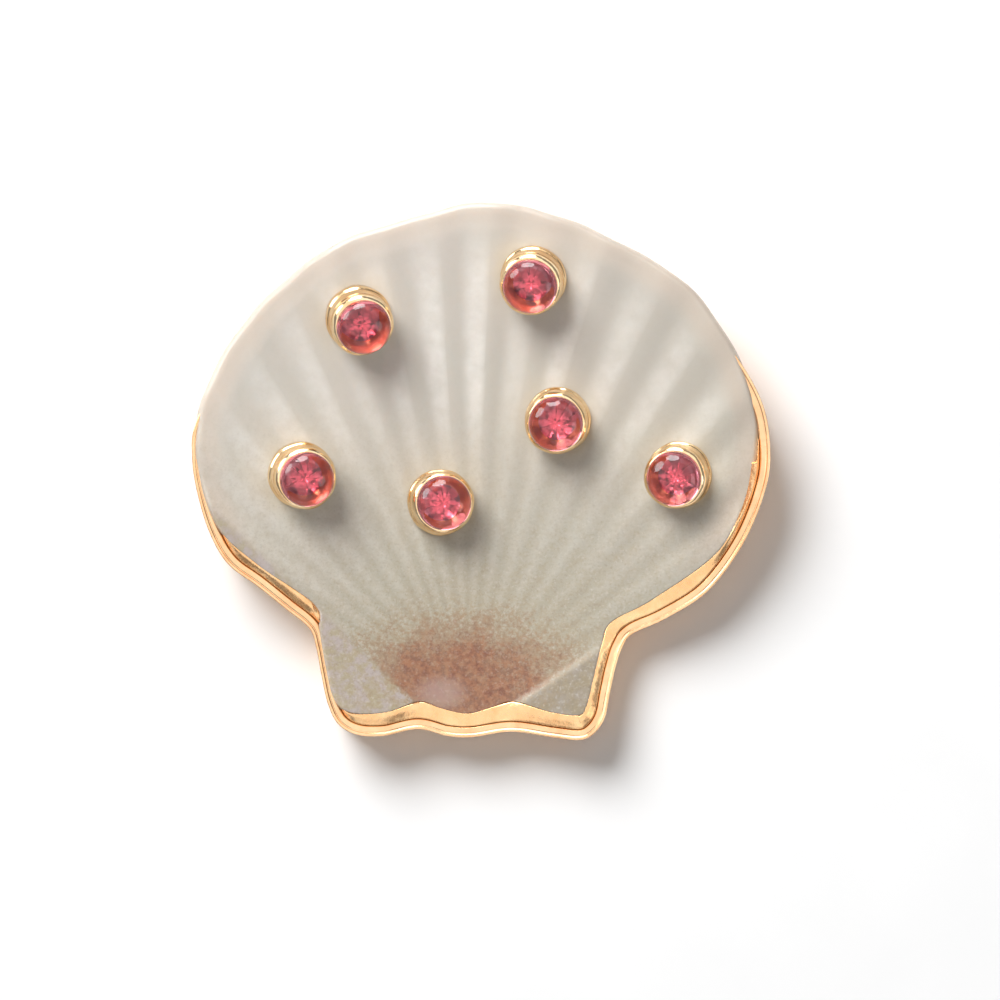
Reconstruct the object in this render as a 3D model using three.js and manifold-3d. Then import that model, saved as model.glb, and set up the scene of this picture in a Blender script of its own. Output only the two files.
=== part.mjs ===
// A jewelled scallop shell: one valve lying hollow side up in a stepped gold rim, with six domed stones
// in tube settings on its face. Millimetres. X runs across the valve, Y from the hinge to the fan's
// edge and Z up from the flat underside of the rim.

import * as THREE from 'three';
import { ParametricGeometry } from 'three/addons/geometries/ParametricGeometry.js';
import { mergeVertices } from 'three/addons/utils/BufferGeometryUtils.js';
import Module from 'manifold-3d';

// ---- Driving dimensions -------------------------------------------------------------------------------

const GAP = 0.3; // clearance kept between neighbouring pieces

// The dish: the valve's face is lowest at (LOW_X, LOW_Y) and rises on two radii.
const LOW_X = 1;
const LOW_Y = -4.5;
const LOW_Z = 2.8;
const RADIUS_X = 55;
const RADIUS_Y = 65;
const SHELL_THICKNESS = 1.4;
const EAR_RISE = 0.2; // how far the two ears stand above the hollow
const MARGIN_ROLL = 0.45; // how far the fan's edge rolls down
const MARGIN_ROLL_WIDTH = 1.8;
const MARGIN_BEVELS = [0.15, 0.5]; // how far in from the edge its rounding ends on the side and on the face
const MARGIN_BEVEL_DROP = 0.2; // how far the side's end of that rounding lies below the face

// The ribs fan out from the umbo. Inside the valve they are broad channels with a low ridge between each
// two, and a ridge lies in each of these directions, in degrees from +X.
const UMBO = new THREE.Vector2(-1, -17);
const RIDGES = [
  25, 33, 40, 48, 56.5, 64.5, 73, 80, 87, 93.5, 100.5, 107, 113.5, 121, 129, 136, 143, 150,
];
const RIDGE_RELIEF = 0.2;
const RIDGE_START = 9; // distance from the umbo where the ridges begin to show
const RIDGE_FULL = 29; // distance from the umbo where they are at full relief
const BACK_RIB_RELIEF = 0.5; // the outside of the valve is ribbed more strongly

// The valve's outline: the fan from the right neck round to the left neck, then the ears and hinge.
const FAN_EDGE = [
  [9.7, -11.2], [12.8, -9.5], [17.8, -5.8], [20.1, -1.2], [20.6, 3.2], [19.2, 8.2], [15.7, 13.4],
  [10.9, 16.6], [5.4, 19.0], [0.0, 19.9], [-5.3, 18.7], [-11.0, 16.7], [-16.2, 12.5], [-19.5, 7.9],
  [-21.1, 3.4], [-20.9, -0.6], [-19.4, -4.3], [-16.5, -7.0], [-12.4, -9.9],
];
const HINGE_EDGE = [
  [-12.4, -9.9], [-12.0, -11.8], [-11.5, -14.5], [-10.9, -16.8], [-9.7, -17.9], [-7.0, -17.9],
  [-4.6, -17.1], [-3.0, -17.6], [-1.0, -18.0], [0.9, -17.5], [2.4, -17.1], [5.2, -17.9], [7.3, -18.1],
  [7.9, -17.3], [8.4, -15.3], [9.0, -12.9], [9.7, -11.2],
];
const CENTRE = new THREE.Vector2(-1, -15); // every ray from here meets the outline once

// The ears begin outside these two lines, each from a neck to a notch of the hinge.
const LEFT_EAR = [new THREE.Vector2(-12.0, -9.8), new THREE.Vector2(-4.5, -17.0)];
const RIGHT_EAR = [new THREE.Vector2(2.2, -17.0), new THREE.Vector2(9.3, -12.3)];

// The rim's outer outline, which stands out beyond the valve at the hinge and the lower flanks and lies
// hidden below the valve's edge round the top of the fan.
const RIM_EDGE = [
  [11.3, -12.0], [13.7, -10.9], [16.8, -8.9], [19.3, -5.6], [20.9, -1.9], [21.4, 1.2], [20.8, 5.0],
  [18.5, 9.0], [14.8, 13.2], [10.2, 16.0], [5.0, 18.1], [0.0, 18.9], [-5.2, 17.9], [-10.4, 15.9],
  [-15.3, 12.0], [-18.8, 7.4], [-21.0, 3.6], [-21.3, 1.0], [-20.9, -1.8], [-20.0, -4.7],
  [-18.7, -6.9], [-16.6, -8.5], [-14.5, -10.2], [-12.8, -11.6],
];
const RIM_HINGE = [
  [-12.8, -11.6], [-12.3, -12.9], [-11.9, -14.9], [-11.4, -17.1], [-10.6, -18.7], [-9.2, -19.5],
  [-7.2, -19.6], [-4.7, -19.1], [-2.6, -19.6], [-0.7, -19.7], [2.2, -19.3], [5.2, -19.7],
  [7.3, -19.9], [8.4, -19.4], [9.2, -18.2], [9.6, -16.3], [10.0, -14.5], [10.5, -13.0], [11.3, -12.0],
];
const CURB_WIDTH = 0.5; // the outer band is a narrow curb on the rim's base
const CURB_LIP = 0.55; // from the valve's face down to the top of the curb
const SEAT_LIP = 0.35; // from the valve's face down to the top of the inner band
const BASE_DEPTH = 3.1; // from the valve's face down to the base's shelf, which carries the inner band
const RIM_WIDTH = 3.0;
const RIM_SPINE_X = -0.7; // the rim's inner wall stands in towards a line up the middle of the valve
const RIM_SPINE_SHRINK = 0.45; // each place on that line is this share of the way up
const RIM_CHAMFER = 0.2;

// The settings: where each stands on the valve and how its axis leans, as a slope in X and in Y.
const SETTINGS = [
  { x: -9.1, y: 11.4, lean: [0.23, -0.38] },
  { x: 3.9, y: 14.3, lean: [-0.09, -0.33] },
  { x: 5.7, y: 3.9, lean: [-0.06, -0.17] },
  { x: 14.7, y: -0.2, lean: [-0.18, -0.17] },
  { x: -13.4, y: -0.2, lean: [0.26, -0.19] },
  { x: -3.1, y: -2.2, lean: [0.15, -0.06] },
];
const COLLET_BASE_RADIUS = 2.48;
const COLLET_TOP_RADIUS = 2.28;
const COLLET_HEIGHT = 2.0;
const COLLET_LIFT = 0.55; // from the valve's face up to the collet's foot, which clears the ribs
const COLLET_SEAT = 1.25; // height of the ledge that carries the stone
const COLLET_FLOOR = 0.3; // thickness of the collet's floor
const FOOT_RING = 0.25; // height of the collet's foot ring
const FOOT_STEP = 0.12; // how far the wall stands in from the foot ring
const LEDGE_WIDTH = 0.35;
const STONE_RADIUS = 1.95;
const STONE_FIT = 0.15; // clearance between the stone and the tube
const STONE_DOME = 1.55;
const STONE_GIRDLE = 0.35;
const STONE_PAVILION = 0.85;
const POST_RADIUS = 0.6;
const POST_HOLE_RADIUS = 0.95;
const POST_REACH = 1.7; // how far the post goes below the valve's face
const POST_HOLE_DEPTH = 4; // well past the valve's back
const POST_HOLE_RISE = 3; // well past the valve's face
const SETTING_SEGMENTS = 16;

// ---- Curves -------------------------------------------------------------------------------------------

const toVectors = (points) => points.map(([x, y]) => new THREE.Vector2(x, y));

function closedOutline(fanPoints, fanCount, hingePoints, hingeCount) {
  const fan = new THREE.SplineCurve(toVectors(fanPoints)).getSpacedPoints(fanCount);
  const hinge = new THREE.SplineCurve(toVectors(hingePoints)).getSpacedPoints(hingeCount);
  return [...fan.slice(0, -1), ...hinge.slice(0, -1)];
}

const SHELL_COLUMNS = { fan: 62, hinge: 30 };
const RIM_COLUMNS = { fan: 44, hinge: 34 };
const shellOutline = closedOutline(FAN_EDGE, SHELL_COLUMNS.fan, HINGE_EDGE, SHELL_COLUMNS.hinge);
const rimOutline = closedOutline(RIM_EDGE, RIM_COLUMNS.fan, RIM_HINGE, RIM_COLUMNS.hinge);

// The unit normals that point into a closed anticlockwise outline.
function inwardNormals(outline) {
  return outline.map((point, index) => {
    const before = outline[(index + outline.length - 1) % outline.length];
    const after = outline[(index + 1) % outline.length];
    return new THREE.Vector2(before.y - after.y, after.x - before.x).normalize();
  });
}

const smooth = THREE.MathUtils.smoothstep;

// ---- The valve's surface ------------------------------------------------------------------------------

const dishHeight = (x, y) =>
  LOW_Z + (x - LOW_X) ** 2 / (2 * RADIUS_X) + (y - LOW_Y) ** 2 / (2 * RADIUS_Y);

// From 0 on a ridge's line to 1 midway to the next, in the direction of a point from the umbo.
function ribShape(x, y) {
  const angle = THREE.MathUtils.radToDeg(Math.atan2(y - UMBO.y, x - UMBO.x));
  const next = RIDGES.findIndex((ridge) => ridge > angle);
  if (next < 1) return 1;
  const across = (angle - RIDGES[next - 1]) / (RIDGES[next] - RIDGES[next - 1]);
  return Math.sin(Math.PI * across) ** 2;
}

// How strongly the ridges show, from 0 at the umbo to 1 well out on the fan.
const ridgeStrength = (x, y) => smooth(Math.hypot(x - UMBO.x, y - UMBO.y), RIDGE_START, RIDGE_FULL);

// How far a point lies to the outer side of an ear's line.
function beyond([from, to], x, y) {
  const along = to.clone().sub(from).normalize();
  return along.y * (x - from.x) - along.x * (y - from.y);
}

function earShape(x, y) {
  const left = smooth(-beyond([LEFT_EAR[1], LEFT_EAR[0]], x, y), 0, 0.9);
  const right = smooth(beyond(RIGHT_EAR, x, y), 0, 0.9);
  return Math.max(left, right);
}

const faceHeight = (x, y) =>
  dishHeight(x, y) + RIDGE_RELIEF * (1 - ribShape(x, y)) * ridgeStrength(x, y) + EAR_RISE * earShape(x, y);

const backHeight = (x, y) =>
  dishHeight(x, y) - SHELL_THICKNESS - BACK_RIB_RELIEF * ribShape(x, y) * smooth(y, -17, 0);

// ---- Solids -------------------------------------------------------------------------------------------

// Shared vertices and no flat triangles, as a closed body needs.
function weld(geometry) {
  geometry.deleteAttribute('normal');
  geometry.deleteAttribute('uv');
  const merged = mergeVertices(geometry, 1e-3);
  const kept = [];
  for (let i = 0; i < merged.index.count; i += 3) {
    const [a, b, c] = [0, 1, 2].map((corner) => merged.index.getX(i + corner));
    if (a !== b && b !== c && c !== a) kept.push(a, b, c);
  }
  merged.setIndex(kept);
  return merged;
}

const wasm = await Module();
wasm.setup();

function toManifold(geometry) {
  const welded = weld(geometry);
  return new wasm.Manifold(new wasm.Mesh({
    numProp: 3,
    vertProperties: new Float32Array(welded.attributes.position.array),
    triVerts: new Uint32Array(welded.index.array),
  }));
}

function toGeometry(manifold) {
  const mesh = manifold.getMesh();
  const geometry = new THREE.BufferGeometry();
  geometry.setAttribute('position', new THREE.BufferAttribute(mesh.vertProperties, mesh.numProp));
  geometry.setIndex(new THREE.BufferAttribute(mesh.triVerts, 1));
  return geometry;
}

// A closed skin over the outline: each row is a share of the way from the centre to the outline, a
// distance that it stands out beyond the outline, and the height function of that row.
function shellSkin(rows) {
  const columns = shellOutline.length;
  const normals = inwardNormals(shellOutline);
  const point = (u, v, target) => {
    const column = Math.round(u * columns) % columns;
    const row = rows[Math.round(v * (rows.length - 1))];
    const edge = shellOutline[column].clone().addScaledVector(normals[column], -row.beyond);
    const at = CENTRE.clone().lerp(edge, row.share);
    target.set(at.x, at.y, row.height(at.x, at.y));
  };
  return new ParametricGeometry(point, columns, rows.length - 1);
}

const SHARES = [0, 0.22, 0.42, 0.6, 0.75, 0.87];

function shellSolid() {
  const middle = (x, y) => dishHeight(x, y) - SHELL_THICKNESS / 2;
  const rolled = (x, y) => faceHeight(x, y) - MARGIN_ROLL * smooth(y, -8, 0);
  const skin = shellSkin([
    ...SHARES.map((share) => ({ share, beyond: 0, height: backHeight })),
    { share: 1, beyond: -MARGIN_ROLL_WIDTH / 3, height: backHeight },
    { share: 1, beyond: 0, height: middle },
    { share: 1, beyond: -MARGIN_BEVELS[0], height: (x, y) => rolled(x, y) - MARGIN_BEVEL_DROP },
    { share: 1, beyond: -MARGIN_BEVELS[1], height: rolled },
    { share: 1, beyond: -MARGIN_ROLL_WIDTH, height: faceHeight },
    ...SHARES.toReversed().map((share) => ({ share, beyond: 0, height: faceHeight })),
  ]);
  return SETTINGS.reduce((solid, setting) => solid.subtract(toManifold(postHole(setting))),
    toManifold(skin));
}

const ABOVE_ALL = 30; // higher than anything on the part

// What the rim has to leave clear: the valve, grown by the gap, and all that lies above it.
function shellEnvelope() {
  const below = (x, y) => dishHeight(x, y) - SHELL_THICKNESS - BACK_RIB_RELIEF - GAP;
  const above = () => ABOVE_ALL;
  const rows = [
    ...SHARES.map((share) => ({ share, beyond: GAP, height: below })),
    { share: 1, beyond: GAP, height: below },
    { share: 1, beyond: GAP, height: above },
    { share: 0, beyond: GAP, height: above },
  ];
  return toManifold(shellSkin(rows));
}

// A band of the rim, swept round its outline: a closed profile of points, each standing in from the
// rim's edge by a distance, at a height that may follow the valve.
function rimBand(profile) {
  const columns = rimOutline.length;
  const normals = inwardNormals(rimOutline);
  const point = (u, v, target) => {
    const column = Math.round(u * columns) % columns;
    const corner = profile[Math.round(v * profile.length) % profile.length];
    const edge = rimOutline[column];
    const at = corner.inner ? innerPoint(edge) : edge.clone().addScaledVector(normals[column], corner.inset);
    target.set(at.x, at.y, corner.height(at.x, at.y));
  };
  return new ParametricGeometry(point, columns, profile.length);
}

// The inner wall stands in from the edge towards the rim's spine, so that it stays clear of itself
// in the ears' corners.
function innerPoint(edge) {
  const spine = new THREE.Vector2(RIM_SPINE_X, RIM_SPINE_SHRINK * edge.y - 1);
  return edge.clone().addScaledVector(spine.sub(edge).normalize(), RIM_WIDTH);
}

const shelfTop = (x, y) => dishHeight(x, y) - BASE_DEPTH;
const curbTop = (x, y) => dishHeight(x, y) - CURB_LIP;
const seatTop = (x, y) => dishHeight(x, y) - SEAT_LIP;

function rimBase() {
  const band = rimBand([
    { inset: 0, height: () => 0 },
    { inset: 0, height: curbTop },
    { inset: CURB_WIDTH, height: curbTop },
    { inset: CURB_WIDTH, height: shelfTop },
    { inner: true, height: shelfTop },
    { inner: true, height: () => 0 },
  ]);
  return toManifold(band).subtract(shellEnvelope());
}

function rimSeat() {
  const outer = CURB_WIDTH + GAP;
  const band = rimBand([
    { inset: outer, height: (x, y) => shelfTop(x, y) + GAP },
    { inset: outer, height: (x, y) => seatTop(x, y) - RIM_CHAMFER },
    { inset: outer + RIM_CHAMFER, height: seatTop },
    { inner: true, height: seatTop },
    { inner: true, height: (x, y) => shelfTop(x, y) + GAP },
  ]);
  return toManifold(band).subtract(shellEnvelope());
}

// ---- Settings and stones ------------------------------------------------------------------------------

const settingAxis = ({ lean }) => new THREE.Vector3(lean[0], lean[1], 1).normalize();

// Turns a setting's own upright frame to its lean and stands it on the valve's face.
function place(object, setting) {
  object.quaternion.setFromUnitVectors(new THREE.Vector3(0, 0, 1), settingAxis(setting));
  object.position.set(setting.x, setting.y, dishHeight(setting.x, setting.y));
  object.updateMatrix();
  return object;
}

// A lathe turns about Y, so its geometry is stood up along Z.
const turned = (corners) =>
  new THREE.LatheGeometry(toVectors(corners), SETTING_SEGMENTS).rotateX(Math.PI / 2);

function postHole(setting) {
  const hole = turned([
    [0, -POST_HOLE_DEPTH],
    [POST_HOLE_RADIUS, -POST_HOLE_DEPTH],
    [POST_HOLE_RADIUS, POST_HOLE_RISE],
    [0, POST_HOLE_RISE],
  ]);
  return hole.applyMatrix4(place(new THREE.Object3D(), setting).matrix);
}

// The tube with its lip, the ledge inside it and the post below it, in one turned piece.
function colletGeometry() {
  const foot = COLLET_LIFT;
  const top = foot + COLLET_HEIGHT;
  const ledge = foot + COLLET_SEAT;
  return weld(turned([
    [0, -POST_REACH],
    [POST_RADIUS, -POST_REACH],
    [POST_RADIUS, foot],
    [COLLET_BASE_RADIUS, foot],
    [COLLET_BASE_RADIUS, foot + FOOT_RING],
    [COLLET_BASE_RADIUS - FOOT_STEP, foot + FOOT_RING + FOOT_STEP],
    [COLLET_TOP_RADIUS, top],
    [STONE_RADIUS + STONE_FIT, top],
    [STONE_RADIUS + STONE_FIT, ledge],
    [STONE_RADIUS + STONE_FIT - LEDGE_WIDTH, ledge],
    [POST_RADIUS, foot + COLLET_FLOOR],
    [0, foot + COLLET_FLOOR],
  ]));
}

function stoneGeometry() {
  const girdle = COLLET_LIFT + COLLET_SEAT + GAP;
  const domeFoot = girdle + STONE_GIRDLE;
  const underside = [[0, girdle - STONE_PAVILION], [STONE_RADIUS, girdle]];
  const dome = [0, 25, 50, 72].map((turn) => {
    const angle = THREE.MathUtils.degToRad(turn);
    return [STONE_RADIUS * Math.cos(angle), domeFoot + STONE_DOME * Math.sin(angle)];
  });
  return weld(turned([...underside, ...dome, [0, domeFoot + STONE_DOME]]));
}

// ---- The part -----------------------------------------------------------------------------------------

const shellMaterial = new THREE.MeshStandardMaterial({ color: 0xd6cec2, roughness: 0.35, metalness: 0 });
const goldMaterial = () => new THREE.MeshStandardMaterial({ color: 0xefc08a, roughness: 0.25, metalness: 1 });
const stoneMaterial = () => new THREE.MeshStandardMaterial({ color: 0xc84a62, roughness: 0.1, metalness: 0 });

function named(name, geometry, material) {
  const mesh = new THREE.Mesh(geometry, material);
  mesh.name = name;
  return mesh;
}

const jewel = new THREE.Group();
jewel.add(named('shell', toGeometry(shellSolid()), shellMaterial));
jewel.add(named('rim_seat', toGeometry(rimSeat()), goldMaterial()));
jewel.add(named('rim_base', toGeometry(rimBase()), goldMaterial()));
SETTINGS.forEach((setting, index) => {
  jewel.add(place(named(`setting_${index + 1}`, colletGeometry(), goldMaterial()), setting));
  jewel.add(place(named(`stone_${index + 1}`, stoneGeometry(), stoneMaterial()), setting));
});

// The origin is the middle of the box's underside.
const box = new THREE.Box3().setFromObject(jewel);
const middle = box.getCenter(new THREE.Vector3());
jewel.position.set(-middle.x, -middle.y, -box.min.z);

export default jewel;
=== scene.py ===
# A jewelled scallop shell: one ribbed valve lying hollow side up in a stepped gold rim, with six domed
# stones in tube settings. The valve, the rim, the settings and the stones are modelled finely here, each
# in the place of its CAD node.
import math

import bpy
import numpy as np
from mathutils import Matrix, Vector


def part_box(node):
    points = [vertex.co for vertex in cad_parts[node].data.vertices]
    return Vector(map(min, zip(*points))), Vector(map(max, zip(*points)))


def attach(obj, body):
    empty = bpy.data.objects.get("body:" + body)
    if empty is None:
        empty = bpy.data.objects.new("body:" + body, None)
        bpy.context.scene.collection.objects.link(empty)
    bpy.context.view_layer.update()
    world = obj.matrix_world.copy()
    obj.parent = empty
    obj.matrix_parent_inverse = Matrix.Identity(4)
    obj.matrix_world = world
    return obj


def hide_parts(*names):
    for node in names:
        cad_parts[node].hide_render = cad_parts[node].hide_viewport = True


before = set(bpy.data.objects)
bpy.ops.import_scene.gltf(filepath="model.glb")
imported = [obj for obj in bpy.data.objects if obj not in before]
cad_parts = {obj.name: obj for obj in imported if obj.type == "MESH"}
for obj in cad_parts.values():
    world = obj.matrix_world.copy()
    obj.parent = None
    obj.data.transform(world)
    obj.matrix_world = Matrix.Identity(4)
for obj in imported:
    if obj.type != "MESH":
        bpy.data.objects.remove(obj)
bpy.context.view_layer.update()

MM = 0.001

# ---- Sizes, in millimetres ------------------------------------------------------------------------------

# The dish of the valve's face, and the valve itself.
LOW_X, LOW_Y, LOW_Z = 1.0, -4.5, 2.8
RADIUS_X, RADIUS_Y = 55.0, 65.0
THICKNESS = 1.4
EAR_RISE = 0.2
MARGIN_ROLL = 0.45
MARGIN_ROLL_WIDTH = 2.2
EDGE_ROUND = 0.5
HINGE_EDGE_ROUND = 0.12

# The ribs fan out from the umbo. Seen from inside they are broad channels, with a low ridge between each
# two, and a ridge lies in each of these directions, in degrees from +X.
UMBO = np.array([-1.0, -17.0])
RIDGES = [25, 33, 40, 48, 56.5, 64.5, 73, 80, 87, 93.5, 100.5, 107, 113.5, 121, 129, 136, 143, 150]
RIDGE_RELIEF = 0.2
RIDGE_START, RIDGE_FULL = 9.0, 29.0  # distances from the umbo over which the ridges rise
RIDGE_VARIATION = 0.3  # how much stronger or weaker than the rest a ridge may be
BACK_RIB_RELIEF = 0.5  # the outside of the valve is ribbed more strongly

# Colour along the ribs: a pale painted highlight on the lit side of each ridge, a dusky ray on the other
# side, and the distances from the umbo over which each comes and goes.
PAINTED_HIGHLIGHT_PALENESS = [0.2, 0.3, 0.4, 0.5, 0.5, 0.5, 0.7, 0.4, 1.0, 1.0, 0.7, 0.5, 0.8, 0.8, 0.7, 0.5, 0.4, 0.3]
PAINTED_HIGHLIGHT_COMES, PAINTED_HIGHLIGHT_GOES = (16.0, 25.0), (31.0, 37.0)
RAY_COMES, RAY_GOES = (2.0, 7.0), (10.0, 26.0)

# The valve's outline, anticlockwise from the right neck round the fan, then the ears and the hinge.
SHELL_EDGE = [
    (9.7, -11.2), (12.8, -9.5), (17.8, -5.8), (20.1, -1.2), (20.6, 3.2), (19.2, 8.2), (15.7, 13.4),
    (10.9, 16.6), (5.4, 19.0), (0.0, 19.9), (-5.3, 18.7), (-11.0, 16.7), (-16.2, 12.5), (-19.5, 7.9),
    (-21.1, 3.4), (-20.9, -0.6), (-19.4, -4.3), (-16.5, -7.0), (-12.4, -9.9),
    (-12.0, -11.8), (-11.5, -14.5), (-10.9, -16.8), (-9.7, -17.9), (-7.0, -17.9), (-4.6, -17.1),
    (-3.0, -17.6), (-1.0, -18.0), (0.9, -17.5), (2.4, -17.1), (5.2, -17.9), (7.3, -18.1), (7.9, -17.3),
    (8.4, -15.3), (9.0, -12.9),
]
SCALLOP = 0.1  # how far each rib pushes the fan's edge out
SCALLOP_COMES = (17.0, 24.0)  # distances from the umbo over which the scallops grow
CENTRE = np.array([-1.0, -15.0])  # every ray from here meets the outline once

# The ears begin outside these two lines, each from a neck to a notch of the hinge.
LEFT_EAR = ((-12.0, -9.8), (-4.5, -17.0))
RIGHT_EAR = ((2.2, -17.0), (9.3, -12.3))
EAR_BLEND = 0.7  # how wide the step up to an ear is

# The rim's outer outline, and the width of its two bands together.
RIM_EDGE = [
    (11.3, -12.0), (13.7, -10.9), (16.8, -8.9), (19.3, -5.6), (20.9, -1.9), (21.4, 1.2), (20.8, 5.0),
    (18.5, 9.0), (14.8, 13.2), (10.2, 16.0), (5.0, 18.1), (0.0, 18.9), (-5.2, 17.9), (-10.4, 15.9),
    (-15.3, 12.0), (-18.8, 7.4), (-21.0, 3.6), (-21.3, 1.0), (-20.9, -1.8), (-20.0, -4.7),
    (-18.7, -6.9), (-16.6, -8.5), (-14.5, -10.2), (-12.8, -11.6),
    (-12.3, -12.9), (-11.9, -14.9), (-11.4, -17.1), (-10.6, -18.7), (-9.2, -19.5), (-7.2, -19.6),
    (-4.7, -19.1), (-2.6, -19.6), (-0.7, -19.7), (2.2, -19.3), (5.2, -19.7), (7.3, -19.9), (8.4, -19.4),
    (9.2, -18.2), (9.6, -16.3), (10.0, -14.5), (10.5, -13.0),
]
RIM_WIDTH = 3.0
RIM_SPINE_X = -0.7  # the inner wall stands in towards a line up the middle of the valve
RIM_SPINE_SHRINK = 0.45  # each place on that line is this share of the way up

# The settings: where each stands on the valve, and its lean as a slope in X and in Y.
SETTINGS = [
    ((-9.1, 11.4), (0.23, -0.38)),
    ((3.9, 14.3), (-0.09, -0.33)),
    ((5.7, 3.9), (-0.06, -0.17)),
    ((14.7, -0.2), (-0.18, -0.17)),
    ((-13.4, -0.2), (0.26, -0.19)),
    ((-3.1, -2.2), (0.15, -0.06)),
]
STONE_RADIUS = 1.95  # inside its setting
DOME_RADIUS = 2.02  # where the dome swells over the setting's lip
GIRDLE = 2.1  # height of the stone's girdle above the valve's face
GIRDLE_BAND = 0.38  # the stone's side is straight up to this far above the girdle
DOME_FOOT = 2.62
DOME_HEIGHT = 1.28
TABLE_RADIUS = 0.95  # the facetted middle of the stone's underside


# ---- Curves and surfaces --------------------------------------------------------------------------------

def smooth(value, low, high):
    t = np.clip((value - low) / (high - low), 0.0, 1.0)
    return t * t * (3.0 - 2.0 * t)


def closed_curve(points, count):
    """Evenly spaced points on a closed Catmull-Rom curve."""
    p = np.array(points, float)
    t = np.linspace(0.0, 1.0, 24, endpoint=False)[:, None]
    spans = []
    for i in range(len(p)):
        a, b, c, d = p[i - 1], p[i], p[(i + 1) % len(p)], p[(i + 2) % len(p)]
        cubic = (3 * b - a - 3 * c + d) * t**3
        spans.append(0.5 * (2 * b + (c - a) * t + (2 * a - 5 * b + 4 * c - d) * t**2 + cubic))
    dense = np.vstack(spans + [p[:1]])
    length = np.concatenate([[0.0], np.cumsum(np.linalg.norm(np.diff(dense, axis=0), axis=1))])
    at = np.linspace(0.0, length[-1], count, endpoint=False)
    return np.column_stack([np.interp(at, length, dense[:, k]) for k in (0, 1)])


def inward_normals(outline):
    along = np.roll(outline, -1, axis=0) - np.roll(outline, 1, axis=0)
    normals = np.column_stack([-along[:, 1], along[:, 0]])
    return normals / np.linalg.norm(normals, axis=1)[:, None]


def dish(x, y):
    return LOW_Z + (x - LOW_X) ** 2 / (2 * RADIUS_X) + (y - LOW_Y) ** 2 / (2 * RADIUS_Y)


def rib_place(x, y):
    """Which rib a point is on, and how far across it from 0 to 1."""
    angle = np.degrees(np.arctan2(y - UMBO[1], x - UMBO[0]))
    spot = np.interp(angle, RIDGES, np.arange(len(RIDGES)))
    return np.floor(spot), spot % 1.0


def ridge_shape(x, y):
    """From 0 in a channel to about 1 on a ridge, fading out towards the umbo."""
    number, across = rib_place(x, y)
    nearest = np.abs(across - np.round(across))
    strength = 1.0 + RIDGE_VARIATION * np.sin(2.4 * (number + np.round(across)) + 0.6)
    reach = np.hypot(x - UMBO[0], y - UMBO[1])
    fade = smooth(reach, RIDGE_START, RIDGE_FULL) * (1.0 - ear_shape(x, y))
    return (1.0 - smooth(nearest, 0.0, 0.5)) * strength * fade


def painted_highlight_shape(x, y):
    """The painted highlight: a pale band along the lit side of each ridge, strongest well out towards the
    margin.
    """
    number, across = rib_place(x, y)
    last = len(PAINTED_HIGHLIGHT_PALENESS) - 1
    paleness = np.array(PAINTED_HIGHLIGHT_PALENESS)[np.clip(number, 0, last).astype(int)]
    reach = np.hypot(x - UMBO[0], y - UMBO[1])
    side = smooth(across, -0.08, 0.16) * (1.0 - smooth(across, 0.3, 0.7))
    return paleness * side * smooth(reach, *PAINTED_HIGHLIGHT_COMES) * (1.0 - smooth(reach, *PAINTED_HIGHLIGHT_GOES))


def ray_shape(x, y):
    """The dusky ray along the other side of each ridge, strongest near the umbo."""
    _, across = rib_place(x, y)
    reach = np.hypot(x - UMBO[0], y - UMBO[1])
    shape = np.sin(math.pi * across) ** 2
    return shape * smooth(reach, *RAY_COMES) * (1.0 - smooth(reach, *RAY_GOES))


def beyond(line, x, y):
    """How far a point lies to the right of a line."""
    (x0, y0), (x1, y1) = line
    length = math.hypot(x1 - x0, y1 - y0)
    return ((y1 - y0) * (x - x0) - (x1 - x0) * (y - y0)) / length


def ear_shape(x, y):
    left = smooth(beyond(LEFT_EAR, x, y), 0.0, EAR_BLEND)
    right = smooth(beyond(RIGHT_EAR, x, y), 0.0, EAR_BLEND)
    return np.maximum(left, right)


def face(x, y):
    return dish(x, y) + RIDGE_RELIEF * ridge_shape(x, y) + EAR_RISE * ear_shape(x, y)


def back(x, y):
    _, across = rib_place(x, y)
    ribs = np.sin(math.pi * across) ** 2 * smooth(y, UMBO[1], 0.0)
    return dish(x, y) - THICKNESS - BACK_RIB_RELIEF * ribs


def shift_to_frame():
    """The frame's origin is the middle of the CAD box, so the drawing moves by what the rim shows."""
    low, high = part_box("rim_base")
    edge = closed_curve(RIM_EDGE, 2000)
    drawn = (edge.min(axis=0) + edge.max(axis=0)) / 2
    packed = np.array([(low[k] + high[k]) / 2 / MM for k in (0, 1)])
    return packed - drawn


SHIFT = shift_to_frame()


# ---- Mesh making ----------------------------------------------------------------------------------------

def piece(name, vertices, faces, material, node, smooth_faces=True):
    """A mesh object from millimetres in the drawing, standing for a CAD node."""
    mesh = bpy.data.meshes.new(name)
    placed = np.array(vertices, float)
    placed[:, :2] += SHIFT
    mesh.from_pydata((placed * MM).tolist(), [], faces)
    mesh.polygons.foreach_set("use_smooth", np.full(len(mesh.polygons), smooth_faces))
    mesh.materials.append(material)
    mesh.update()
    made = bpy.data.objects.new(name, mesh)
    bpy.context.scene.collection.objects.link(made)
    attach(made, "root")
    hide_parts(node)
    return made


def grid_faces(rows, columns, closed_rows=False):
    """Quads of a grid whose columns go round, and whose rows may too."""
    faces = []
    for r in range(rows if closed_rows else rows - 1):
        here, there = r * columns, (r + 1) % rows * columns
        for c in range(columns):
            d = (c + 1) % columns
            faces.append((here + c, here + d, there + d, there + c))
    return faces


def pole_faces(ring, columns, pole, flip):
    """Triangles from a ring of a grid to a point."""
    faces = []
    for c in range(columns):
        edge = (ring + c, ring + (c + 1) % columns)
        faces.append((*(edge[::-1] if flip else edge), pole))
    return faces


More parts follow.
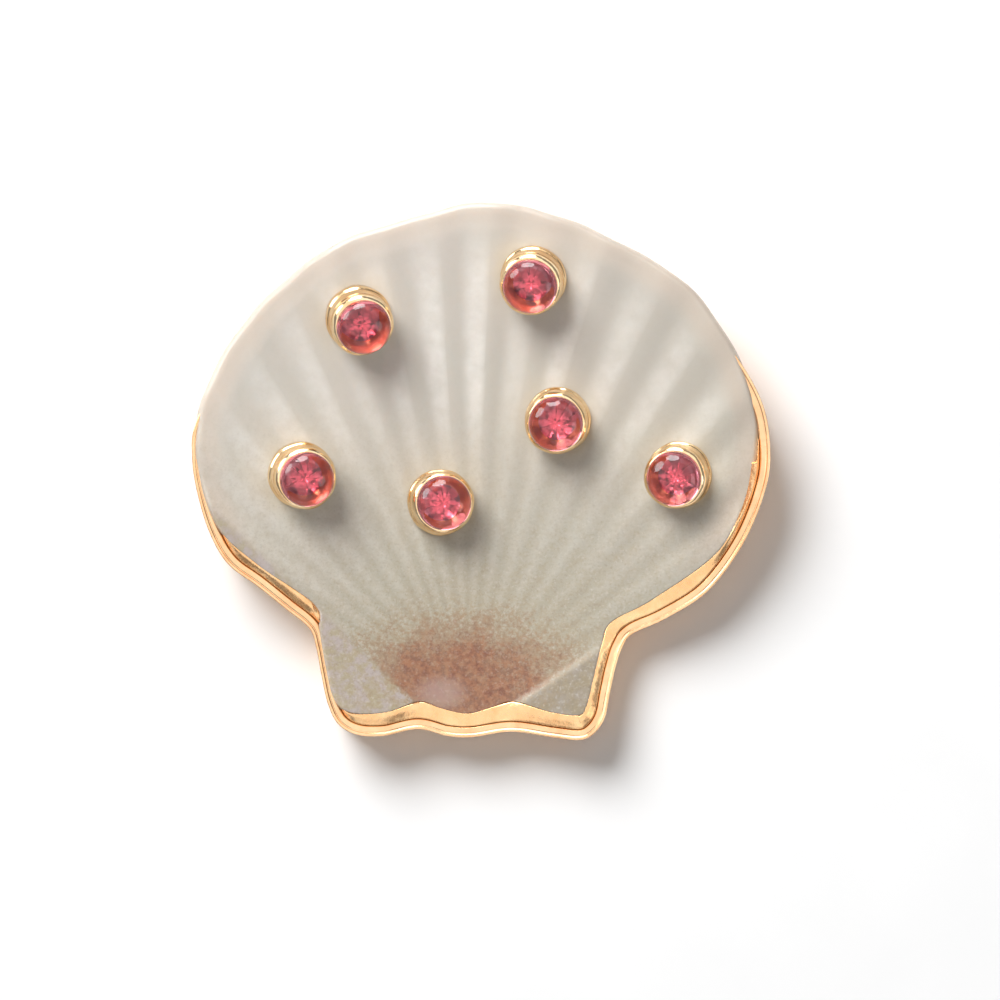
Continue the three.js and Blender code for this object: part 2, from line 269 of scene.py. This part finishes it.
def turned(profile, segments):
    """Vertices and faces of a profile of (radius, height) turned about Z, from one axis point to another."""
    turn = np.linspace(0.0, 2 * math.pi, segments, endpoint=False)
    rings = [np.column_stack([r * np.cos(turn), r * np.sin(turn), np.full(segments, z)])
             for r, z in profile[1:-1]]
    ends = np.array([[0.0, 0.0, profile[0][1]], [0.0, 0.0, profile[-1][1]]])
    vertices = np.vstack([*rings, ends])
    count = len(rings) * segments
    faces = grid_faces(len(rings), segments)
    faces += pole_faces(0, segments, count, True)
    faces += pole_faces(count - segments, segments, count + 1, False)
    return vertices, faces


def stand(vertices, setting):
    """Moves a piece from a setting's own upright frame to its place and lean."""
    (x, y), lean = setting
    axis = Vector((*lean, 1.0)).normalized()
    turn = np.array(Vector((0.0, 0.0, 1.0)).rotation_difference(axis).to_matrix())
    return vertices @ turn.T + np.array([x, y, dish(x, y)])


# ---- Node materials -------------------------------------------------------------------------------------

class Graph:
    """Short calls for building a material's nodes."""

    def __init__(self, name):
        self.material = bpy.data.materials.new(name)
        self.material.use_nodes = True
        self.nodes = self.material.node_tree.nodes
        self.links = self.material.node_tree.links
        self.shader = self.nodes["Principled BSDF"]
        self.place = self.add("ShaderNodeTexCoord").outputs["Object"]

    def add(self, kind, inputs=None, **settings):
        node = self.nodes.new(kind)
        for key, value in settings.items():
            setattr(node, key, value)
        for key, value in (inputs or {}).items():
            self.put(node.inputs[key], value)
        return node

    def put(self, socket, value):
        if isinstance(value, bpy.types.NodeSocket):
            self.links.new(value, socket)
        else:
            socket.default_value = value

    def mask(self, name):
        return self.add("ShaderNodeAttribute", attribute_name=name).outputs["Fac"]

    def noise(self, size_mm, detail=3.0, roughness=0.55, place=None):
        inputs = {"Vector": place or self.place, "Scale": 1.0 / (size_mm * MM), "Detail": detail}
        inputs["Roughness"] = roughness
        return self.add("ShaderNodeTexNoise", inputs).outputs["Fac"]

    def range(self, value, low, high, to_low=0.0, to_high=1.0):
        inputs = {"Value": value, "From Min": low, "From Max": high, "To Min": to_low, "To Max": to_high}
        return self.add("ShaderNodeMapRange", inputs).outputs["Result"]

    def math(self, operation, a, b=0.0):
        node = self.add("ShaderNodeMath", operation=operation)
        self.put(node.inputs[0], a)
        self.put(node.inputs[1], b)
        return node.outputs[0]

    def blend(self, factor, a, b, mode="MIX"):
        node = self.add("ShaderNodeMix", data_type="RGBA", blend_type=mode)
        self.put(node.inputs[0], factor)
        self.put(node.inputs[6], a)
        self.put(node.inputs[7], b)
        return node.outputs[2]

    def bump(self, height, distance_mm, strength=1.0, normal=None):
        inputs = {"Height": height, "Distance": distance_mm * MM, "Strength": strength}
        if normal:
            inputs["Normal"] = normal
        return self.add("ShaderNodeBump", inputs).outputs["Normal"]

    def finish(self, **values):
        for key, value in values.items():
            self.put(self.shader.inputs[key.replace("_", " ")], value)
        return self.material


def colour(red, green, blue):
    """A colour named by its 0 to 255 screen values."""
    def linear(v):
        v /= 255.0
        return v / 12.92 if v <= 0.04045 else ((v + 0.055) / 1.055) ** 2.4
    return (linear(red), linear(green), linear(blue), 1.0)


def shell_material():
    """Pearly pink-white, greyer and grainier towards a brown stain at the umbo, with mottled ears, painted
    light and shade across the face, and painted highlights along the ridges.
    """
    g = Graph("shell_nacre")
    spot = g.add("ShaderNodeSeparateXYZ", {"Vector": g.place}).outputs
    # Lighter towards the top and the left and darker towards the right: partly the shell's own tone, partly
    # painted light and painted shade.
    up = g.range(spot["Y"], -0.014, 0.019)
    tone = g.blend(up, colour(175, 170, 154), colour(224, 216, 207))
    tone = g.blend(g.range(spot["X"], -0.002, 0.02, 0.0, 0.6), tone, colour(168, 160, 146))
    tone = g.blend(g.range(spot["X"], -0.004, -0.02, 0.0, 0.5), tone, colour(230, 223, 212))
    cloud = g.noise(5.0, 3.0)
    tone = g.blend(g.range(cloud, 0.4, 0.7, 0.0, 0.22), tone, colour(196, 198, 186))
    # Painted highlight: a pale band along the lit side of each ridge, broken up by noise.
    ragged_painted_highlight = g.math("MULTIPLY", g.mask("painted_highlight"), g.range(g.noise(1.4, 3.0), 0.3, 0.7, 0.25, 0.65))
    tone = g.blend(ragged_painted_highlight, tone, colour(244, 240, 234))
    tone = g.blend(g.math("MULTIPLY", g.mask("margin"), 0.6), tone, colour(206, 190, 174))
    tone = g.blend(g.math("MULTIPLY", g.mask("low"), 0.4), tone, colour(170, 158, 134))
    tone = g.blend(g.math("MULTIPLY", g.mask("ray"), 0.3), tone, colour(142, 130, 104))

    mottle = g.noise(0.9, 4.0)
    left_ear = g.blend(g.range(mottle, 0.42, 0.6), colour(178, 164, 164), colour(168, 154, 124))
    right_ear = g.blend(g.range(mottle, 0.4, 0.62), colour(148, 137, 126), colour(134, 120, 96))
    ear_tone = g.blend(g.range(spot["X"], -0.004, 0.004), left_ear, right_ear)
    tone = g.blend(g.math("MULTIPLY", g.mask("ear"), 0.75), tone, ear_tone)

    speckled = g.math("ADD", g.mask("umbo"), g.range(g.noise(0.3, 4.0, 0.75), 0.35, 0.65, -0.3, 0.3))
    speckled = g.math("ADD", speckled, g.range(g.noise(1.8, 3.0), 0.3, 0.7, -0.14, 0.14))
    stain_tone = g.blend(g.range(g.noise(0.5, 4.0, 0.7), 0.4, 0.6), colour(118, 58, 32), colour(158, 100, 64))
    stain_tone = g.blend(g.math("MULTIPLY", g.mask("plum"), 0.8), stain_tone, colour(168, 134, 126))
    within = g.range(g.mask("umbo"), 0.0, 0.16)
    fringe = g.math("MULTIPLY", g.range(speckled, -0.1, 0.5, 0.0, 0.6), within)
    tone = g.blend(fringe, tone, colour(160, 136, 102))
    tone = g.blend(g.math("MULTIPLY", g.range(speckled, 0.2, 0.95, 0.0, 0.9), within), tone, stain_tone)

    toward_hinge = g.range(up, 0.05, 0.6, 1.0, 0.08)
    off_stain = g.range(g.mask("umbo"), 0.2, 0.9, 1.0, 0.5)
    grainy = g.math("MULTIPLY", toward_hinge, off_stain)
    patches = g.math("MULTIPLY", g.range(g.noise(0.6, 5.0, 0.65), 0.42, 0.66, 0.0, 0.45), grainy)
    tone = g.blend(patches, tone, colour(166, 150, 120))
    dark_grain = g.math("MULTIPLY", g.range(g.noise(0.2, 2.0, 0.7), 0.5, 0.75, 0.0, 0.3), grainy)
    tone = g.blend(dark_grain, tone, colour(118, 98, 78))
    light_grain = g.math("MULTIPLY", g.range(g.noise(0.26, 3.0, 0.7), 0.54, 0.76, 0.0, 0.35), grainy)
    tone = g.blend(light_grain, tone, colour(226, 218, 208))

    growth = g.mask("growth")
    back_tone = g.blend(g.range(growth, 0.3, 0.8), colour(214, 184, 162), colour(186, 140, 118))
    tone = g.blend(g.mask("back"), tone, back_tone)
    relief = g.bump(g.noise(0.5, 4.0), 0.03, 0.25)
    growth_relief = g.math("MULTIPLY", growth, g.range(g.mask("back"), 0.0, 1.0, 0.05, 1.0))
    relief = g.bump(growth_relief, 0.12, 0.6, relief)
    rough = g.range(g.noise(2.0, 3.0), 0.3, 0.7, 0.3, 0.42)
    return g.finish(Base_Color=tone, Roughness=rough, Normal=relief, Subsurface_Weight=0.35,
                    Subsurface_Radius=(0.0014, 0.0011, 0.0009), Subsurface_Scale=1.0,
                    Coat_Weight=0.3, Coat_Roughness=0.2, IOR=1.5)


def gold_material(name, bright, deep, low, high, grain):
    """Gold with a fine grain, faint casting unevenness and a little roughness change."""
    g = Graph(name)
    tone = g.blend(g.range(g.noise(1.5, 3.0), 0.35, 0.65), bright, deep)
    rough = g.range(g.noise(0.35, 4.0), 0.3, 0.7, low, high)
    relief = g.bump(g.noise(0.9, 2.0), 0.05, grain)
    relief = g.bump(g.noise(0.12, 3.0), 0.01, grain, relief)
    return g.finish(Base_Color=tone, Metallic=1.0, Roughness=rough, Normal=relief)


def foil_material():
    """The bright leaf under a stone."""
    g = Graph("rose_foil")
    tone = g.blend(g.range(g.noise(0.5, 2.0), 0.35, 0.65), colour(250, 236, 238), colour(236, 214, 220))
    relief = g.bump(g.noise(0.4, 1.0), 0.12, 0.6)
    return g.finish(Base_Color=tone, Metallic=1.0, Roughness=0.3, Normal=relief)


def stone_material():
    g = Graph("pink_stone")
    tone = g.blend(g.range(g.noise(0.8, 3.0), 0.4, 0.65), (1.0, 0.86, 0.9, 1.0), (1.0, 0.8, 0.86, 1.0))
    absorb = g.add("ShaderNodeVolumeAbsorption", {"Color": (0.94, 0.12, 0.22, 1.0), "Density": 370.0})
    g.links.new(absorb.outputs["Volume"], g.nodes["Material Output"].inputs["Volume"])
    relief = g.bump(g.noise(0.6, 2.0), 0.01, 0.15)
    return g.finish(Base_Color=tone, Roughness=0.03, Transmission_Weight=1.0, IOR=1.55, Normal=relief)


# ---- The valve ------------------------------------------------------------------------------------------

COLUMNS = 720
FACE_SHARES = np.linspace(0.0, 1.0, 81)[1:]
BACK_SHARES = np.linspace(0.0, 1.0, 41)[1:]
EDGE_TURNS = np.radians([20, 45, 70, 90, 110, 135, 160])
EDGE_BACK = (1.6, 2.6)  # turns, in radians, over which the edge takes on the back's colour
FAN_COMES = (-6.0, 2.0)  # places up the valve over which the hinge's sharp edge turns into the fan's

MARGIN_WIDTH = (1.0, 2.6)  # the tinted margin fades out this far in from the fan's edge
MARGIN_COMES = (-9.0, -3.0)
LOW_CENTRE, LOW_REACH = (-1.0, -17.0), (5.0, 13.0)  # the duller shell round the umbo
STAIN_CENTRE, STAIN_REACH = (-1.3, -17.6), (2.2, 9.2)
STAIN_BLOTS = [(-5.0, -14.3), (-1.0, -13.7)]  # the stain's two darkest spots
STAIN_BLOT_SPREAD = 1.6
PLUM_CENTRE, PLUM_REACH = (-3.0, -16.4), (0.4, 1.7)  # the greyer patch in the stain


def shell_outline():
    outline = closed_curve(SHELL_EDGE, COLUMNS)
    normals = inward_normals(outline)
    x, y = outline.T
    _, across = rib_place(x, y)
    on_fan = smooth(np.hypot(x - UMBO[0], y - UMBO[1]), *SCALLOP_COMES)
    push = SCALLOP * on_fan * (np.sin(math.pi * across) ** 2 - 1.0)
    return outline - normals * push[:, None]


def shell_masks(x, y, depth, side):
    """The shares, from 0 to 1, that the shell's material blends its colours by."""
    reach = np.hypot(x - UMBO[0], y - UMBO[1])
    ear = ear_shape(x, y)
    low = np.hypot((x - LOW_CENTRE[0]) / 1.5, y - LOW_CENTRE[1])
    up = y - STAIN_CENTRE[1]
    stain = np.hypot((x - STAIN_CENTRE[0]) / (1.25 + 0.05 * np.maximum(up, 0.0)), up)
    blots = sum(np.exp(-((x - bx) ** 2 + (y - by) ** 2) / STAIN_BLOT_SPREAD) for bx, by in STAIN_BLOTS)
    plum = np.hypot((x - PLUM_CENTRE[0]) / 1.5, y - PLUM_CENTRE[1])
    return {
        # painted highlight along the lit side of each ridge
        "painted_highlight": painted_highlight_shape(x, y) * smooth(depth, 1.0, 3.5),
        "ray": ray_shape(x, y) * (1.0 - ear),
        "margin": (1.0 - smooth(depth, *MARGIN_WIDTH)) * smooth(y, *MARGIN_COMES),
        "low": 1.0 - smooth(low, *LOW_REACH),
        "ear": ear,
        "umbo": (1.0 - smooth(stain, *STAIN_REACH) + 0.3 * blots) * (1.0 - 0.85 * ear),
        "plum": 1.0 - smooth(plum, *PLUM_REACH),
        "back": np.full(len(x), side),
        "growth": 0.5 + 0.5 * np.sin(reach * 4.2 + 1.5 * np.sin(reach * 0.9)),
    }


def make_shell(material):
    """The valve: rows of its face from the centre out, its rounded edge, and rows of its back."""
    outline = shell_outline()
    normals = inward_normals(outline)
    rolls = smooth(outline[:, 1], *FAN_COMES)
    edge_round = (HINGE_EDGE_ROUND + (EDGE_ROUND - HINGE_EDGE_ROUND) * rolls)[:, None]
    inner = outline + normals * edge_round
    span = np.linalg.norm(inner - CENTRE, axis=1)
    facing = np.abs(np.sum((inner - CENTRE) / span[:, None] * normals, axis=1))

    def row(share):
        """Places on the face, how far each is from the edge, and how far the margin has rolled down there."""
        at = CENTRE + (inner - CENTRE) * share
        depth = span * (1.0 - share) * facing + edge_round[:, 0]
        roll = MARGIN_ROLL * rolls * (1.0 - smooth(depth, 0.0, MARGIN_ROLL_WIDTH))
        return at, depth, roll

    rings, masks = [], []

    def store(at, z, depth, side):
        rings.append(np.column_stack([at, z]))
        masks.append(shell_masks(*at.T, depth, side))

    for share in FACE_SHARES:
        at, depth, roll = row(share)
        store(at, face(*at.T) - roll, depth, 0.0)
    rim_at, _, rim_roll = row(1.0)
    top, bottom = face(*rim_at.T) - rim_roll, back(*rim_at.T)
    for turn in EDGE_TURNS:
        at = inner - normals * edge_round * math.sin(turn)
        z = (top + bottom) / 2 + (top - bottom) / 2 * math.cos(turn)
        store(at, z, np.zeros(COLUMNS), float(smooth(turn, *EDGE_BACK)))
    for share in BACK_SHARES[::-1]:
        at, depth, _ = row(share)
        store(at, back(*at.T), depth, 1.0)

    poles = np.array([[*CENTRE, face(*CENTRE)], [*CENTRE, back(*CENTRE)]])
    vertices = np.vstack([*rings, poles])
    count = len(rings) * COLUMNS
    faces = [f[::-1] for f in grid_faces(len(rings), COLUMNS)]
    faces += pole_faces(0, COLUMNS, count, False)
    faces += pole_faces(count - COLUMNS, COLUMNS, count + 1, True)
    shell = piece("shell_valve", vertices, faces, material, "shell")
    for name in masks[0]:
        rows = [ring_masks[name] for ring_masks in masks]
        values = np.concatenate([*rows, [rows[0][0], rows[-1][0]]]).astype(np.float32)
        shell.data.attributes.new(name, "FLOAT", "POINT").data.foreach_set("value", values)


# ---- The rim --------------------------------------------------------------------------------------------

RIM_COLUMNS = 960
EDGE_INSET = 0.03  # keeps the rim inside its CAD outline
BEAD_POINTS = 8
BASE_TOP = 0.9  # depth of the base's inner edge below the valve's back
FOOT_CHAMFER = 0.1
BASE_FOOT = [(0.15, 0.0), (0.06, 0.06), (EDGE_INSET, 0.2)]  # insets and heights above the floor
SEAT_OUTER = 0.84  # the groove between the two bands is this far in from the rim's edge
SEAT_MIN_WIDTH = 0.2  # where the valve's edge covers the inner band
SEAT_ROWS = 22
SEAT_BEAD, SEAT_BEAD_WIDTH = 0.05, 0.12  # the inner band's rounded outer corner; its width is a share
GROOVE_DEPTH = 0.45
SEAT_TUCK = 0.08  # how far the inner band runs in under the valve's rounded edge
SEAT_TOP = 0.09  # below the valve's face, where the inner band meets it
COVE_STEEPNESS = -0.35  # where the cove's curve would begin, as a share before the groove
SHELF = (0.1, 0.7)  # the inner band's shelf, as depths below the valve's back
SEAT_FOOT = 0.8  # depth of the inner band's outer wall below the groove


def outside_distance(points, outline):
    """How far each point lies outside a closed outline, negative inside."""
    away = points[:, None, :] - outline[None, :, :]
    nearest = np.argmin(np.sum(away**2, axis=2), axis=1)
    normals = inward_normals(outline)
    rows = np.arange(len(points))
    return -np.sum(away[rows, nearest] * normals[nearest], axis=1)


def under_valve(at, z, outline):
    """Keeps a surface that runs under the valve below it."""
    x, y = at.T
    return np.where(outside_distance(at, outline) > -0.1, z, np.minimum(z, back(x, y) - 0.05))


def spine_inset(edge, amount):
    """Moves the rim's edge in towards its spine, which keeps the inner wall clear of itself."""
    spine = np.column_stack([np.full(len(edge), RIM_SPINE_X), RIM_SPINE_SHRINK * edge[:, 1] - 1.0])
    toward = spine - edge
    return edge + toward / np.linalg.norm(toward, axis=1)[:, None] * amount


def moulding(start, end, bulge, steps):
    """Points from one (inset, height) to another, bulging up between them like a half round."""
    t = np.linspace(0.0, 1.0, steps)
    return [(start[0] + (end[0] - start[0]) * k, start[1] + (end[1] - start[1]) * k
             + bulge * math.sqrt(max(0.0, 1.0 - (2.0 * k - 1.0) ** 2))) for k in t]


def rim_band(name, rings, material, node):
    return piece(name, np.vstack(rings), grid_faces(len(rings), RIM_COLUMNS, closed_rows=True), material,
                 node)


def make_seat(material):
    """The inner band: a soft cove from the groove up to the valve's edge, and a shelf under the valve."""
    edge = closed_curve(RIM_EDGE, RIM_COLUMNS)
    normals = inward_normals(edge)
    outline = shell_outline()
    to_valve = outside_distance(edge, outline) + SEAT_TUCK
    reach = np.maximum(to_valve, SEAT_OUTER + SEAT_MIN_WIDTH)
    shown = to_valve > SEAT_OUTER + SEAT_MIN_WIDTH
    rings = []
    for share in np.linspace(0.0, 1.0, SEAT_ROWS):
        inset = SEAT_OUTER + (reach - SEAT_OUTER) * share
        at = edge + normals * inset[:, None]
        x, y = at.T
        low = dish(x, y) - GROOVE_DEPTH
        top = face(x, y) - SEAT_TOP
        bead = SEAT_BEAD * smooth(share, 0.0, SEAT_BEAD_WIDTH)
        z = low + (top - low) * smooth(share, COVE_STEEPNESS, 1.0) + bead
        rings.append(np.column_stack([x, y, np.where(shown, z, under_valve(at, z, outline))]))
    inner = spine_inset(edge, RIM_WIDTH)
    x, y = inner.T
    for depth in SHELF:
        rings.append(np.column_stack([x, y, back(x, y) - depth]))
    x, y = (edge + normals * SEAT_OUTER).T
    rings.append(np.column_stack([x, y, dish(x, y) - GROOVE_DEPTH - SEAT_FOOT]))
    return rim_band("rim_seat_band", rings, material, "rim_seat")


def make_base(material):
    """The outer band: two low half-round mouldings over a plain wall down to the floor."""
    edge = closed_curve(RIM_EDGE, RIM_COLUMNS)
    normals = inward_normals(edge)
    outer_bead = moulding((EDGE_INSET, -0.66), (0.26, -0.57), 0.05, BEAD_POINTS)
    valley = [(0.29, -0.6), (0.33, -0.6)]
    inner_bead = moulding((0.36, -0.56), (0.77, -0.48), 0.04, BEAD_POINTS)
    groove = [(0.79, -0.52), (0.8, -0.66), (0.8, -1.3)]
    rings = []
    for inset, height in BASE_FOOT:
        x, y = (edge + normals * inset).T
        rings.append(np.column_stack([x, y, np.full(len(x), height)]))
    for inset, height in outer_bead + valley + inner_bead + groove:
        x, y = (edge + normals * inset).T
        rings.append(np.column_stack([x, y, dish(x, y) + height]))
    inner = spine_inset(edge, RIM_WIDTH)
    x, y = inner.T
    rings.append(np.column_stack([x, y, back(x, y) - BASE_TOP]))
    rings.append(np.column_stack([x, y, np.full(len(x), FOOT_CHAMFER)]))
    x, y = spine_inset(edge, RIM_WIDTH - FOOT_CHAMFER).T
    rings.append(np.column_stack([x, y, np.zeros(len(x))]))
    return rim_band("rim_base_band", rings, material, "rim_base")


# ---- Settings and stones --------------------------------------------------------------------------------

# The collet's section as (radius, height): post, foot ring, wall, lip, and the cup inside it.
COLLET = [
    (0.0, -1.78), (0.35, -1.78), (0.56, -1.7), (0.6, -1.5), (0.6, -0.6), (2.3, -0.6), (2.44, -0.5),
    (2.47, 0.25), (2.46, 0.42), (2.4, 0.53), (2.33, 0.57), (2.3, 0.66), (2.31, 0.76), (2.27, 0.9),
    (2.25, 1.3), (2.27, 1.75), (2.33, 1.9), (2.34, 2.02), (2.3, 2.16), (2.2, 2.31), (2.1, 2.41),
    (2.02, 2.46), (1.985, 2.45), (1.965, 2.4), (1.965, 1.96), (1.9, 1.88), (1.5, 1.74), (0.92, 1.62),
]
CUP_RADIUS = 1.98
CUP_LOWEST = 1.4  # everything of the cup and its foil is above this
FOIL_RADIUS = 0.9
FOIL = [(FOIL_RADIUS, 1.61), (0.55, 1.52), (0.25, 1.54), (0.0, 1.5)]
FOIL_PLEATS = 5  # the leaf on the cup's floor is cut as a star
PLEAT_HEIGHT = 0.05
COLLET_SEGMENTS = 96


def make_setting(number, setting, gold, cup, foil):
    """A tube setting: base ring, wall, lip, and a satin cup whose floor is a star of bright foil."""
    vertices, faces = turned([*COLLET, *FOIL], COLLET_SEGMENTS)
    turn = np.arctan2(vertices[:, 1], vertices[:, 0])
    reach = np.hypot(vertices[:, 0], vertices[:, 1])
    pleated = (vertices[:, 2] > CUP_LOWEST) & (reach < 0.6) & (reach > 0.1)
    vertices[:, 2] += PLEAT_HEIGHT * pleated * np.sign(np.cos(FOIL_PLEATS * turn + number))
    wobble = 0.02 * np.sin(3 * turn + number) + 0.012 * np.sin(7 * turn + 2.1 * number)
    scale = 1.0 + wobble / np.maximum(reach, 0.5) * smooth(reach, 2.0, 2.2)
    vertices[:, :2] *= scale[:, None]
    made = piece(f"setting_{number}_collet", stand(vertices, setting), [f[::-1] for f in faces], gold,
                 f"setting_{number}")
    made.data.materials.append(cup)
    made.data.materials.append(foil)
    reach_at_faces = np.array([max(reach[v] for v in f) for f in faces])
    height_at_faces = np.array([min(vertices[v, 2] for v in f) for f in faces])
    is_cup = (reach_at_faces < CUP_RADIUS) & (height_at_faces > CUP_LOWEST)
    is_foil = is_cup & (reach_at_faces < FOIL_RADIUS + 0.01)
    made.data.polygons.foreach_set("material_index", is_cup.astype(int) + is_foil.astype(int))
    made.data.polygons.foreach_set("use_smooth", ~is_foil)


STONE_SEGMENTS = 64
DOME_ROWS = 16
FACETS = 8
TABLE_DROP = 0.14  # from the girdle down to the table's edge
STAR_RADIUS = 0.43
STAR_DROP = 0.22
POINT_DROP = 0.16
STONE_TURN = 0.7  # radians from one stone's facets to the next one's


def stone_mesh():
    """A domed stone. Under the girdle is a plain cone, and a shallow eight-sided star in its middle."""
    turns = np.radians(np.linspace(0, 90, DOME_ROWS + 1))[:-1]
    cone = [(TABLE_RADIUS, GIRDLE - TABLE_DROP), (1.5, GIRDLE - 0.1), (1.8, GIRDLE - 0.04)]
    side = [(STONE_RADIUS - 0.02, GIRDLE), (STONE_RADIUS, GIRDLE + 0.05),
            (STONE_RADIUS, GIRDLE + GIRDLE_BAND), (0.5 * (STONE_RADIUS + DOME_RADIUS), DOME_FOOT - 0.08)]
    dome = [(DOME_RADIUS * math.cos(t), DOME_FOOT + DOME_HEIGHT * math.sin(t)) for t in turns]
    turn = np.linspace(0.0, 2 * math.pi, STONE_SEGMENTS, endpoint=False)
    rings = [np.column_stack([r * np.cos(turn), r * np.sin(turn), np.full(STONE_SEGMENTS, z)])
             for r, z in cone + side + dome]
    at = np.arange(FACETS) * 2 * math.pi / FACETS
    star = np.column_stack([STAR_RADIUS * np.cos(at), STAR_RADIUS * np.sin(at),
                            np.full(FACETS, GIRDLE - STAR_DROP)])
    tips = np.array([[0.0, 0.0, DOME_FOOT + DOME_HEIGHT], [0.0, 0.0, GIRDLE - POINT_DROP]])
    vertices = np.vstack([*rings, star, tips])
    first_star = len(rings) * STONE_SEGMENTS
    top, point = first_star + FACETS, first_star + FACETS + 1
    faces = grid_faces(len(rings), STONE_SEGMENTS)
    faces += pole_faces(first_star - STONE_SEGMENTS, STONE_SEGMENTS, top, False)
    smooth_count = len(faces)
    per = STONE_SEGMENTS // FACETS
    for k in range(FACETS):
        here, there = first_star + k, first_star + (k + 1) % FACETS
        middle = k * per + per // 2
        before = [c % STONE_SEGMENTS for c in range(k * per, middle + 1)]
        after = [c % STONE_SEGMENTS for c in range(middle, (k + 1) * per + 1)]
        faces.append((*before[::-1], here))
        faces.append((here, middle, there))
        faces.append((*after[::-1], there))
        faces.append((here, there, point))
    return vertices, faces, smooth_count


def make_stone(number, setting, material):
    vertices, faces, smooth_count = stone_mesh()
    turn = STONE_TURN * number
    spin = np.array([[math.cos(turn), -math.sin(turn), 0], [math.sin(turn), math.cos(turn), 0], [0, 0, 1]])
    made = piece(f"stone_{number}_cabochon", stand(vertices @ spin.T, setting), faces, material,
                 f"stone_{number}")
    made.data.polygons.foreach_set("use_smooth", np.arange(len(faces)) < smooth_count)


# ---- Floor, light and camera ----------------------------------------------------------------------------

VIEW_WIDTH = 74.1  # millimetres across the picture
VIEW_CENTRE = (1.4, -2.1, 4.5)
VIEW_LEAN = (0.02, -0.035)
SENSOR_WIDTH, LENS = 36.0, 180.0
WORLD_STRENGTH = 0.29


def floor():
    g = Graph("floor_paper")
    tone = g.blend(g.range(g.noise(8.0, 3.0), 0.3, 0.7), (0.94, 0.94, 0.94, 1.0), (0.96, 0.96, 0.96, 1.0))
    material = g.finish(Base_Color=tone, Roughness=0.9)
    bpy.ops.mesh.primitive_plane_add(size=3.0)
    plane = bpy.context.object
    plane.name = "floor"
    plane.data.materials.append(material)


def area_light(name, place, size, radiance, diffuse, glossy):
    """A disk aimed at the shell. Its power gives it the stated brightness."""
    data = bpy.data.lights.new(name, "AREA")
    data.shape = "DISK"
    data.size = size
    data.energy = radiance * math.pi * math.pi * (size / 2) ** 2
    light = bpy.data.objects.new(name, data)
    light.location = place
    light.rotation_euler = Vector(place).to_track_quat("Z", "Y").to_euler()
    light.visible_diffuse = diffuse
    light.visible_glossy = glossy
    light.visible_camera = False
    bpy.context.scene.collection.objects.link(light)


def lights():
    """A soft key light from the upper left, and pale cards that only the reflections and the stones show."""
    area_light("key", (-0.28, 0.42, 0.52), 0.46, 12.6, True, False)
    area_light("overhead_card", (0.0, 0.1, 0.62), 2.0, 0.97, False, True)
    area_light("back_card", (-0.1, 0.6, 0.22), 0.45, 8.0, False, True)
    area_light("front_card", (0.05, -0.6, 0.3), 0.5, 0.7, False, True)
    area_light("left_card", (-0.55, 0.3, 0.24), 0.4, 6.0, False, True)
    area_light("right_card", (0.55, -0.15, 0.3), 0.3, 1.6, False, True)
    world = bpy.data.worlds.new("studio")
    bpy.context.scene.world = world
    world.use_nodes = True
    world.node_tree.nodes["Background"].inputs["Color"].default_value = (1.0, 1.0, 1.0, 1.0)
    world.node_tree.nodes["Background"].inputs["Strength"].default_value = WORLD_STRENGTH


def camera():
    data = bpy.data.cameras.new("camera")
    data.sensor_width = SENSOR_WIDTH
    data.lens = LENS
    data.clip_end = 10.0
    made = bpy.data.objects.new("camera", data)
    target = Vector(((VIEW_CENTRE[0] + SHIFT[0]) * MM, (VIEW_CENTRE[1] + SHIFT[1]) * MM, VIEW_CENTRE[2] * MM))
    distance = VIEW_WIDTH * MM * data.lens / data.sensor_width
    back_axis = Vector((*VIEW_LEAN, 1.0)).normalized()
    right = Vector((0.0, 1.0, 0.0)).cross(back_axis).normalized()
    up = back_axis.cross(right)
    turn = Matrix((right, up, back_axis)).transposed().to_4x4()
    made.matrix_world = Matrix.Translation(target + back_axis * distance) @ turn
    bpy.context.scene.collection.objects.link(made)
    bpy.context.scene.camera = made


# ---- Making the scene -----------------------------------------------------------------------------------

camera()
floor()
lights()
bpy.context.scene.view_settings.view_transform = "Standard"

satin_gold = gold_material("rim_gold_satin", colour(248, 204, 152), colour(238, 184, 130), 0.18, 0.32, 0.8)
rim_gold = gold_material("rim_gold_bright", colour(250, 208, 162), colour(243, 190, 142), 0.14, 0.24, 0.3)
collet_gold = gold_material("collet_gold", colour(254, 228, 186), colour(244, 204, 152), 0.06, 0.14, 0.6)
cup_gold = gold_material("cup_gold_satin", colour(255, 214, 160), colour(250, 196, 132), 0.35, 0.5, 0.2)
rose_foil = foil_material()
pink = stone_material()

make_shell(shell_material())
make_seat(satin_gold)
make_base(rim_gold)
for index, setting_row in enumerate(SETTINGS, start=1):
    make_setting(index, setting_row, collet_gold, cup_gold, rose_foil)
    make_stone(index, setting_row, pink)
